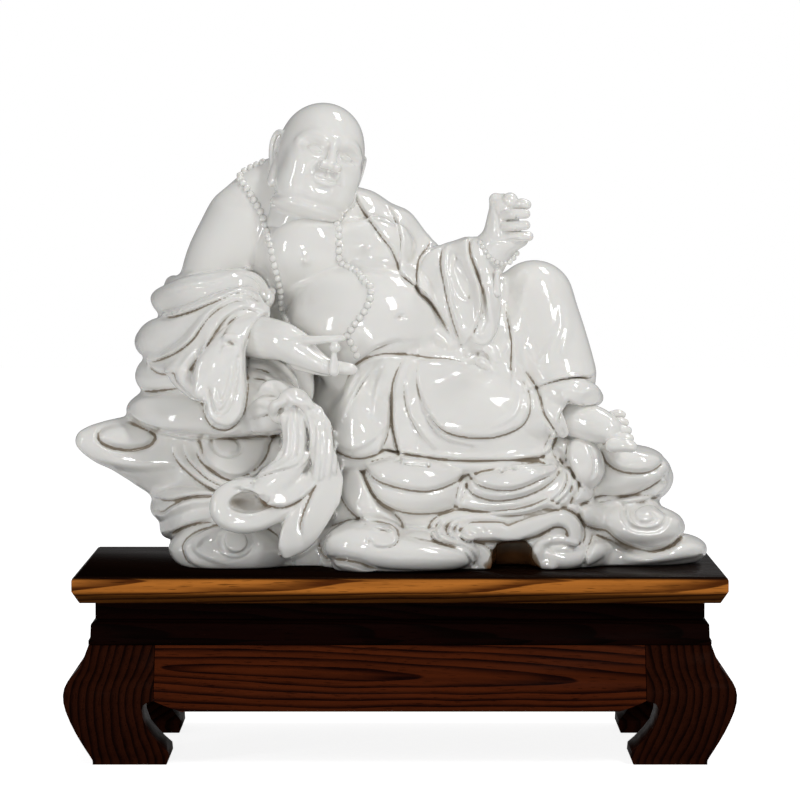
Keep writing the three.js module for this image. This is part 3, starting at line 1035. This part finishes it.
function sleeveRight(c) {
  c.limb([[34, -30, 276, 34], [56, -44, 288, 32], [74, -56, 302, 24]], { blend: 4 });
  c.limb([[44, -50, 292, 24], [52, -64, 266, 27], [60, -70, 240, 20], [68, -70, 226, 12]],
    { blend: 5, flat: [[0, 1, 0], 0.8] });
  c.limb([[82, -66, 296, 10], [86, -74, 268, 14], [86, -78, 240, 11], [82, -76, 226, 8]], { blend: 3 });
  c.limb([[30, -56, 250, 12], [40, -62, 234, 13], [51, -70, 222, 11]], { blend: 5 });
  // Edge over the shoulder robe, then the upright folds and the hem.
  c.fold([[36, 322, 2], [30, 315, 5], [23, 305, 6], [19, 294, 6], [18, 282, 6], [20, 270, 6],
    [31, 260, 5], [42, 244, 4], [50, 230, 3], [60, 218, 1]], { width: 18, hand: 1, moat: 3 });
  c.fold([[47, 320, 2], [43, 309, 4], [42, 296, 5], [45, 280, 5], [49, 260, 5], [55, 238, 5],
    [62, 219, 2]], { width: 13, hand: 1, moat: 3 });
  c.groove([[49, 312, 1], [48, 294, 1.6], [52, 272, 1.6], [57, 250, 1.6], [63, 230, 1]],
    { sink: 0.3, blend: 1.5 });
  c.swell([[55, 306], [52, 294], [55, 278], [62, 266], [70, 261], [72, 271], [69, 287], [63, 302]],
    -4, { soft: 3 });
  c.fold([[70, 330, 4], [68, 318, 6], [69, 306, 7], [75, 289, 8], [80, 274, 8], [82, 258, 8],
    [79, 242, 8], [73, 230, 6]], { width: 18, hand: -1, moat: 3 });
  c.limb([[85, -62, 277, 8], [84, -70, 260, 10], [82, -76, 242, 10], [80, -78, 233, 9]], { blend: 4 });
  c.groove([[83, 274, 1.5], [85, 258, 3], [84, 242, 3.6], [80, 230, 3]], { sink: -0.4, blend: 1.5 });
  c.ridge([[82, 281, 1.5], [88, 270, 2.8], [90, 254, 3], [92, 238, 3], [91, 227, 3], [85, 220, 3],
    [77, 221, 3], [71, 228, 2]], { sink: 1, blend: 1.5 });
}

function sleeveLeft(c) {
  c.limb([[-182, -26, 242, 27], [-153, -68, 230, 23]], { blend: 4 });
  c.blob([-192, -6, 226], [54, 50, 50], { blend: 8 });
  // Rolls round the upper arm, from the top.
  c.limb([[-227, 20, 276, 10], [-219, -14, 277, 9], [-206, -34, 282, 7]], { blend: 4 });
  c.limb([[-240, 26, 261, 11], [-231, -16, 264, 14], [-210, -48, 272, 15], [-185, -60, 277, 15],
    [-162, -62, 281, 14], [-145, -56, 279, 11], [-136, -52, 269, 8], [-133, -52, 257, 6]], { blend: 3 });
  c.limb([[-251, 20, 219, 16], [-238, -34, 225, 20], [-215, -62, 234, 18], [-193, -77, 248, 13],
    [-174, -83, 260, 9], [-155, -80, 265, 7], [-141, -76, 260, 5]], { blend: 3 });
  c.limb([[-238, -28, 197, 8], [-219, -66, 205, 12], [-201, -82, 218, 13], [-185, -90, 237, 12],
    [-166, -91, 252, 9], [-147, -86, 256, 7], [-131, -84, 249, 5]], { blend: 3 });
  c.limb([[-139, -84, 245, 8], [-155, -95, 234, 13], [-169, -102, 218, 16], [-181, -105, 199, 17],
    [-189, -103, 181, 15]], { blend: 3 });
  c.limb([[-240, -40, 202, 11], [-225, -62, 199, 10], [-212, -80, 188, 13], [-198, -94, 179, 14]],
    { blend: 4 });
  c.limb([[-216, -78, 193, 12], [-202, -86, 211, 12], [-186, -92, 227, 12]], { blend: 3 });
  c.fold([[-252, 201, 3], [-248, 194, 5], [-240, 189, 6], [-231, 189, 5], [-225, 189, 5],
    [-222, 180, 6], [-214, 171, 6], [-204, 163, 6], [-195, 158, 4]], { width: 15, hand: 1, moat: 2 });
  // Sharp edges between the rolls.
  c.fold([[-248, 260, 3], [-242, 251, 5], [-234, 246, 6], [-223, 247, 7], [-207, 252, 7],
    [-193, 258, 6], [-178, 264, 6], [-163, 270, 5], [-150, 269, 4], [-138, 259, 2]],
    { width: 17, hand: 1, moat: 3 });
  c.fold([[-257, 206, 3], [-250, 201, 5], [-238, 204, 7], [-223, 211, 7], [-209, 222, 7],
    [-199, 236, 6], [-190, 247, 5], [-175, 257, 4], [-159, 262, 4], [-143, 257, 2]],
    { width: 17, hand: 1, moat: 2.2 });
  c.fold([[-214, 188, 1], [-209, 196, 3], [-197, 212, 4.5], [-187, 228, 5], [-178, 241, 5],
    [-168, 249, 4], [-154, 254, 4], [-134, 248, 2]], { width: 13, hand: 1, moat: 2.2 });
  c.fold([[-233, 270, 1], [-215, 275, 3], [-191, 278, 4], [-171, 284, 3], [-157, 290, 1]],
    { width: 10, hand: 1, moat: 1.5, soft: 2.5 });
  c.fold([[-230, 279, 1], [-214, 283, 3], [-194, 285, 3], [-176, 289, 1]],
    { width: 9, hand: 1, moat: 1.5, soft: 2 });
  c.fold([[-198, 244, 1], [-187, 252, 3], [-171, 262, 4], [-154, 266, 2]],
    { width: 9, hand: 1, moat: 2 });
  c.ridge([[-159, 293, 2], [-147, 292, 4], [-136, 287, 5], [-129, 276, 5.2], [-129, 264, 4.8],
    [-133, 253, 3]], { sink: 0.8, blend: 1.5 });
  c.ridge([[-164, 272, 1.5], [-152, 273, 3], [-143, 268, 3.6], [-138, 259, 2.4]],
    { sink: 0.6, blend: 1.5 });
  c.groove([[-154, 287, 1], [-144, 283, 2.2], [-137, 274, 2.6], [-136, 263, 1.4]],
    { sink: 0.2, blend: 1.2 });
  // Pinch in the cloth below the crook of the elbow.
  c.fold([[-158, 248, 1], [-169, 237, 4], [-175, 226, 5], [-178, 215, 2]],
    { width: 14, hand: 1, moat: 2 });
  c.groove([[-179, 216, 1], [-173, 219, 3], [-167, 218, 3.2], [-162, 213, 1.2]], { sink: 0.5, blend: 2 });
  c.ridge([[-179, 222, 1.5], [-172, 225, 3.4], [-165, 223, 3.2], [-160, 217, 1.5]],
    { sink: 0.8, blend: 2 });
  c.fold([[-196, 218, 1], [-202, 204, 4], [-206, 190, 4], [-206, 174, 2]],
    { width: 12, hand: 1, moat: 1.5, soft: 2.5 });
  c.fold([[-210, 210, 1], [-218, 200, 3], [-224, 191, 1]], { width: 10, hand: 1, moat: 1.5 });
  // Open end of the sleeve, a hanging loop.
  c.limb([[-164, -100, 216, 12], [-167, -107, 195, 16], [-169, -111, 174, 18], [-170, -111, 160, 18]],
    { blend: 3, flat: [[0, 1, 0], 0.6] });
  c.fold([[-132, 250, 2], [-143, 241, 5], [-151, 229, 6], [-155, 217, 7], [-156, 204, 7],
    [-154, 182, 6], [-155, 162, 6], [-160, 145, 6], [-172, 133, 6], [-186, 135, 6], [-194, 146, 5],
    [-197, 160, 3]], { width: 16, hand: -1, moat: 3 });
  c.groove([[-191, 172, 1.5], [-190, 158, 3], [-184, 148, 3.2], [-175, 152, 3.2], [-168, 168, 3],
    [-164, 186, 2.8], [-162, 204, 1.5]], { sink: 0.4, blend: 1.5 });
  c.groove([[-182, 170, 1], [-180, 160, 2], [-175, 166, 2], [-171, 180, 1.6], [-169, 194, 1]],
    { sink: 0.4, blend: 1.2 });
}

// Forearm and hand on the belly.
function handRight(c) {
  c.limb([[-151, -70, 230, 22], [-133, -88, 227, 21], [-115, -102, 224, 19], [-102, -108, 218, 17]],
    { blend: 2 });
  c.limb([[-102, -108, 218, 17], [-93, -112, 212, 14], [-83, -115, 206, 11], [-72, -118, 201, 8.5],
    [-61, -120, 199, 7], [-50, -122, 198, 6], [-46, -122, 197, 5]], { blend: 2 });
  // Thumb above.
  c.limb([[-109, -108, 225, 11], [-98, -118, 225, 7], [-83, -124, 226, 5.4], [-68, -127, 227, 4.6],
    [-56, -128, 228, 3.8]], { blend: 2, flat: [[0, 0, 1], 0.8] });
  c.limb([[-100, -106, 204, 8], [-88, -110, 199, 6], [-72, -112, 195, 5]], { blend: 2 });
  // Last bead and its tassel, held between them.
  c.blob([-63, -128, 219], [5.5, 5.5, 5.5], { blend: 1 });
  c.limb([[-64, -128, 213, 2.4], [-64, -128, 207, 3.6], [-64, -128, 201, 4.6], [-64, -128, 196, 5.4]],
    { blend: 1 });
}

// Raised hand on the knee, thumb to the fingers.
function handLeft(c) {
  c.limb([[75, -46, 283, 18], [85, -53, 299, 22], [93, -57, 314, 22], [100, -59, 328, 20]], { blend: 2 });
  c.limb([[100, -59, 328, 20], [103, -61, 341, 18], [105, -62, 351, 15], [102, -61, 359, 9]],
    { blend: 3 });
  c.limb([[98, -63, 360, 7], [107, -68, 364, 7], [117, -72, 360, 5.6], [125, -73, 356, 5]], { blend: 2 });
  c.limb([[101, -72, 345, 5], [110, -80, 346, 5], [119, -82, 347, 4.8], [124, -80, 347, 4.4]],
    { blend: 1 });
  c.limb([[98, -74, 334, 5], [110, -80, 335, 5], [120, -81, 337, 4.8], [124, -79, 337, 4.4]],
    { blend: 1 });
  c.limb([[106, -72, 325, 7], [118, -76, 327, 5.6], [126, -76, 328, 5], [127, -74, 323, 4]],
    { blend: 1.5 });
}

function foot(c) {
  c.limb([[164, -60, 146, 17], [177, -68, 145, 18.5], [192, -77, 141, 18], [204, -84, 137, 14]],
    { blend: 3 });
  for (let k = 0; k < 5; k++) {
    const x = 226 - (1.2 * k) - (1.2 * Math.max(0, k - 2));
    const y = -100 + 7 * k;
    const z = 121 + 7.4 * k;
    const r = (k === 0 ? 6.4 : 5.2 - (0.25 * k));
    c.limb([[x - 18, y + 3, z + 1 - (1.4 * k), r + 1], [x - 6, y, z + 1, r], [x, y, z, r - 0.6]],
      { blend: 1.5 });
  }
}

// A bald head with long ear lobes; in its own frame the face looks along -y and the head is 100 high.
function headCoarse(c) {
  c.pose({ turn: [-4, 17, 14], shift: [-80, -22, 401], size: 1.04 });
  c.blob([0, 4, 12], [41, 47, 44], { blend: 6 });
  c.blob([0, -6, -16], [37, 38, 36], { blend: 16 });
  c.blob([0, -14, -38], [30, 28, 16], { blend: 8 });
  c.blob([0, -30, -33], [13, 12, 9], { blend: 8 });
  c.blob([0, -6, -52], [34, 30, 12], { blend: 5 });
  for (const s of [-1, 1]) {
    c.blob([20 * s, -30, -14], [14, 12, 13], { blend: 9 });
    c.limb([[38 * s, 2, 14, 4], [43 * s, 6, 8, 5], [42 * s, 4, -8, 5], [40 * s, -2, -26, 6],
      [39 * s, -5, -33, 6.5]], { blend: 2, flat: [[1, 0.3, 0], 0.7] });
    c.blob([15 * s, -40, 6], [9, 5, 4], { blend: 3 });
    c.limb([[8 * s, -42, 16, 3], [18 * s, -40, 18, 3.4], [30 * s, -32, 14, 2.4]], { blend: 6 });
  }
  c.limb([[0, -44, 10, 4], [0, -50, 0, 5], [0, -54, -8, 6]], { blend: 3 });
  c.blob([7, -47, -9], [5, 5, 4], { blend: 2 });
  c.blob([-7, -47, -9], [5, 5, 4], { blend: 2 });
  c.limb([[-12, -41, -20, 2.6], [0, -46, -19, 3.4], [12, -41, -20, 2.6]], { blend: 2 });
  c.limb([[-9, -40, -25, 2.6], [0, -44, -26, 3.6], [9, -40, -25, 2.6]], { blend: 2 });
  c.pose();
}

// A closed mesh of plain lists as a geometry.
function geometryOf({ places, faces }) {
  const geometry = new THREE.BufferGeometry();
  geometry.setAttribute('position', new THREE.Float32BufferAttribute(places, 3));
  geometry.setIndex(faces);
  return geometry;
}

// A geometry with merged corners as a solid, and a solid's surface as a geometry again.
function solidOf(geometry) {
  const bare = geometry.clone();
  bare.deleteAttribute('normal');
  bare.deleteAttribute('uv');
  const merged = mergeVertices(bare, 1e-4);
  return new wasm.Manifold(new wasm.Mesh({
    numProp: 3,
    vertProperties: Float32Array.from(merged.attributes.position.array),
    triVerts: Uint32Array.from(merged.index.array),
  }));
}

function surfaceOf(solid) {
  const { vertProperties, triVerts } = solid.getMesh();
  const geometry = new THREE.BufferGeometry();
  geometry.setAttribute('position', new THREE.Float32BufferAttribute(vertProperties, 3));
  geometry.setIndex([...triVerts]);
  const flat = geometry.toNonIndexed();
  flat.computeVertexNormals();
  return flat;
}

// The whole figure in one casting: reclining on clouds beside the tied bag, in shares of its height.
function figureSolid() {
  const c = new Clay(CLAY_LOW, CLAY_HIGH, CLAY_CELL);
  baseMasses(c);
  baseDetails(c);
  torso(c);
  robeBack(c);
  robeFront(c);
  legs(c);
  legDetails(c);
  bag(c);
  foot(c);
  const beads = [...beadPlaces(c, LEFT_STRAND, BEAD_RADIUS), ...beadPlaces(c, RIGHT_STRAND, BEAD_RADIUS)];
  sleeveRight(c);
  handLeft(c);
  beads.push(...beadPlaces(c, BRACELET, BEAD_RADIUS * 0.8));
  c.limb([[96, -82, 294, 2.4], [96, -82, 288, 3.4], [95, -82, 280, 3.6], [95, -82, 270, 5]], { blend: 1 });
  sleeveLeft(c);
  ties(c);
  handRight(c);
  headCoarse(c);
  let solid = solidOf(geometryOf(thinned(largestShell(c.skin()), FIGURE_FACES)));
  for (const [x, y, z] of beads) {
    const bead = new THREE.OctahedronGeometry(BEAD_RADIUS * 1.2).rotateY(0.5).rotateZ(0.4).translate(x, y,
      z);
    solid = solid.add(solidOf(bead));
  }
  const below = new THREE.BoxGeometry(900, 600, 60).translate(0, 0, -30);
  return solid.subtract(solidOf(below));
}

// Levels of the stand, from the floor up.
const WAIST_TOP = STAND_HEIGHT - BOARD_THICKNESS;
const WAIST_FOOT = WAIST_TOP - WAIST_HEIGHT;
const APRON_TOP = WAIST_FOOT - MOULDING_HEIGHT;
const APRON_FOOT = APRON_TOP - APRON_HEIGHT;
const BELLY_LEVEL = APRON_FOOT + APRON_HEIGHT * 0.26;
const MITRE_REACH = 60;

// The stand's bowed side, as insets from the board's edge and heights, from the top of the apron down.
const NECK_INSET = WAIST_INSET * 0.7;
const APRON_SIDE = [[NECK_INSET, APRON_TOP], [NECK_INSET * 0.45, APRON_TOP - APRON_HEIGHT * 0.34],
  [-BULGE * 0.5, BELLY_LEVEL + APRON_HEIGHT * 0.2], [-BULGE, BELLY_LEVEL], [-BULGE * 0.7, APRON_FOOT]];
const LEG_SIDE = [[WAIST_INSET * 0.15, APRON_FOOT * 0.6], [WAIST_INSET * 0.6, APRON_FOOT * 0.26],
  [WAIST_INSET * 0.85, APRON_FOOT * 0.08], [WAIST_INSET * 0.85, 0]];

const splined = (points, count) => new THREE.SplineCurve(points.map(([x, y]) => new THREE.Vector2(x,
  y))).getPoints(count);

// A slab with a given outline, in the plane of inset and height, that runs along the third way.
function slab(outline, from, to) {
  const geometry = new THREE.ExtrudeGeometry(new THREE.Shape(outline),
    { depth: to - from, bevelEnabled: false });
  return geometry.translate(0, 0, from);
}

// Turns a slab so that its outline's inset counts inwards from a front edge or from a right edge.
const fromFront = new THREE.Matrix4().set(0, 0, 1, 0, 1, 0, 0, 0, 0, 1, 0, 0, 0, 0, 0, 1);
const fromRight = new THREE.Matrix4().set(-1, 0, 0, 0, 0, 0, 1, 0, 0, 1, 0, 0, 0, 0, 0, 1);
const toFront = (geometry) => geometry.applyMatrix4(fromFront).translate(0, -BOARD_DEPTH / 2, 0);
const toRight = (geometry) => geometry.applyMatrix4(fromRight).translate(BOARD_WIDTH / 2, 0, 0);

function topBoard() {
  const outline = (width) => {
    const half = width / 2;
    const top = STAND_HEIGHT;
    const right = [
      [half - BOARD_LIP, top - BOARD_THICKNESS],
      [half - BOARD_LIP * 0.55, top - BOARD_THICKNESS * 0.8],
      [half, top - BOARD_THICKNESS * 0.55],
      [half, top - BOARD_ROUND],
      [half - BOARD_ROUND * 0.3, top - BOARD_ROUND * 0.3],
      [half - BOARD_ROUND, top],
    ];
    return [...right, ...right.map(([x, z]) => [-x, z]).reverse()].map(([x, z]) => new THREE.Vector2(x, z));
  };
  const long = slab(outline(BOARD_WIDTH), -BOARD_DEPTH, BOARD_DEPTH).rotateX(Math.PI / 2);
  const cross = slab(outline(BOARD_DEPTH), -BOARD_WIDTH, BOARD_WIDTH).rotateX(Math.PI / 2)
    .rotateZ(Math.PI / 2);
  return solidOf(long).intersect(solidOf(cross));
}

// One rail of a frame with mitred ends: its section run along the front or the right edge.
function mitredRail(section, side) {
  const long = Math.max(BOARD_WIDTH, BOARD_DEPTH);
  const run = side === 'front' ? toFront(slab(section, -long, long)) : toRight(slab(section, -long, long));
  const [half, away] = side === 'front' ? [BOARD_WIDTH / 2, BOARD_DEPTH / 2] : [BOARD_DEPTH / 2,
    BOARD_WIDTH / 2];
  const outer = half + BULGE * 2 - SEAT_GAP / 2;
  const inner = half - MITRE_REACH - SEAT_GAP / 2;
  const plan = [[-outer, -away - BULGE * 2], [outer, -away - BULGE * 2], [inner, -away + MITRE_REACH],
    [-inner, -away + MITRE_REACH]].map(([x, y]) => new THREE.Vector2(x, y));
  const wedge = new THREE.ExtrudeGeometry(new THREE.Shape(plan),
    { depth: STAND_HEIGHT, bevelEnabled: false });
  if (side !== 'front') wedge.rotateZ(Math.PI / 2);
  return solidOf(run).intersect(solidOf(wedge));
}

const vectors = (points) => points.map(([x, y]) => new THREE.Vector2(x, y));

function waistRail(side) {
  const foot = WAIST_FOOT + SEAT_GAP;
  const top = WAIST_TOP - SEAT_GAP;
  return mitredRail(vectors([[WAIST_INSET, foot], [WAIST_INSET + WAIST_THICKNESS, foot],
    [WAIST_INSET + WAIST_THICKNESS, top], [WAIST_INSET, top]]), side);
}

function mouldingRail(side) {
  const foot = APRON_TOP + SEAT_GAP;
  return mitredRail(vectors([[NECK_INSET, foot], [NECK_INSET + MOULDING_DEPTH, foot],
    [NECK_INSET + MOULDING_DEPTH, WAIST_FOOT], [WAIST_INSET + 1, WAIST_FOOT], [WAIST_INSET * 0.8,
      WAIST_FOOT - 3],
    [WAIST_INSET * 0.78, foot + 5], [NECK_INSET, foot + 3]]), side);
}

// A bowed apron between two legs: its section run along the edge and its lower corners raised.
function apron(side) {
  const half = (side === 'front' ? BOARD_WIDTH : BOARD_DEPTH) / 2 - LEG_WIDTH - SEAT_GAP;
  const outer = splined(APRON_SIDE, 10);
  const back = APRON_THICKNESS + BULGE;
  const section = [...outer, new THREE.Vector2(back, APRON_FOOT), new THREE.Vector2(back, APRON_TOP)];
  const run = side === 'front' ? toFront(slab(section, -half, half)) : toRight(slab(section, -half, half));
  const rise = NOTCH_RADIUS;
  const corner = splined([[half - 2 * rise, APRON_FOOT], [half - 0.9 * rise, APRON_FOOT + rise * 0.4],
    [half, APRON_FOOT + rise * 0.8]], 3);
  const face = [...corner, new THREE.Vector2(half, APRON_TOP), new THREE.Vector2(-half, APRON_TOP),
    ...corner.map((p) => new THREE.Vector2(-p.x, p.y)).reverse()];
  const through = slab(face, -BOARD_WIDTH, BOARD_WIDTH).rotateX(Math.PI / 2);
  if (side !== 'front') through.rotateZ(Math.PI / 2);
  return solidOf(run).intersect(solidOf(through));
}

// A corner leg: one outline seen from the front and from the side, bowed out, then in to a turned foot.
function leg() {
  const outer = splined([...APRON_SIDE, ...LEG_SIDE], 16);
  const heel = WAIST_INSET * 0.85 + FOOT_WIDTH;
  const inner = splined([[heel - 2, 0], [heel, APRON_FOOT * 0.2], [heel * 0.9, APRON_FOOT * 0.4],
    [LEG_WIDTH - 5, APRON_FOOT * 0.7], [LEG_WIDTH - 8, APRON_FOOT], [LEG_WIDTH - 6,
      APRON_FOOT + NOTCH_RADIUS * 0.6],
    [LEG_WIDTH, APRON_FOOT + NOTCH_RADIUS * 0.8]], 10);
  const outline = [...outer, ...inner, new THREE.Vector2(LEG_WIDTH, APRON_TOP)];
  const reach = LEG_WIDTH + FOOT_WIDTH;
  const front = slab(outline, -reach, BULGE * 2).applyMatrix4(fromFront);
  const right = slab(outline, -BULGE * 2, reach).applyMatrix4(fromRight);
  return solidOf(front).intersect(solidOf(right));
}

const darkWood = (tone) => new THREE.MeshStandardMaterial({ color: tone, roughness: 0.35, metalness: 0 });
const BOARD_TONE = 0x3a1c0e;
const RAIL_TONE = 0x170905;
const APRON_TONE = 0x351208;
const PORCELAIN = new THREE.MeshStandardMaterial({ color: 0xf2eee2, roughness: 0.12, metalness: 0 });

const stand = new THREE.Group();
const figure = new THREE.Group();
const budai = new THREE.Group();
budai.add(stand, figure);

function piece(name, geometry, material, parent) {
  const mesh = new THREE.Mesh(geometry, material);
  mesh.name = name;
  parent.add(mesh);
  return mesh;
}

piece('stand_top_board', surfaceOf(topBoard()), darkWood(BOARD_TONE), stand);

for (const [kind, make, tone] of [['waist', waistRail, RAIL_TONE], ['moulding', mouldingRail, RAIL_TONE],
  ['apron', apron, APRON_TONE]]) {
  const long = surfaceOf(make('front'));
  const short = surfaceOf(make('right'));
  piece(`stand_${kind}_front`, long, darkWood(tone), stand);
  piece(`stand_${kind}_back`, long.clone(), darkWood(tone), stand).rotation.z = Math.PI;
  piece(`stand_${kind}_right`, short, darkWood(tone), stand);
  piece(`stand_${kind}_left`, short.clone(), darkWood(tone), stand).rotation.z = Math.PI;
}

const legSurface = surfaceOf(leg());
for (const [name, x, y, quarters] of [['front_right', 1, -1, 0], ['back_right', 1, 1, 1],
  ['back_left', -1, 1, 2],
  ['front_left', -1, -1, 3]]) {
  const corner = piece(`stand_leg_${name}`, legSurface.clone(), darkWood(APRON_TONE), stand);
  corner.position.set(x * BOARD_WIDTH / 2, y * BOARD_DEPTH / 2, 0);
  corner.rotation.z = quarters * Math.PI / 2;
}

figure.position.z = STAND_HEIGHT + SEAT_GAP;
figure.scale.setScalar(SHARE);
piece('budai_figure', surfaceOf(figureSolid()), PORCELAIN, figure);

export default budai;
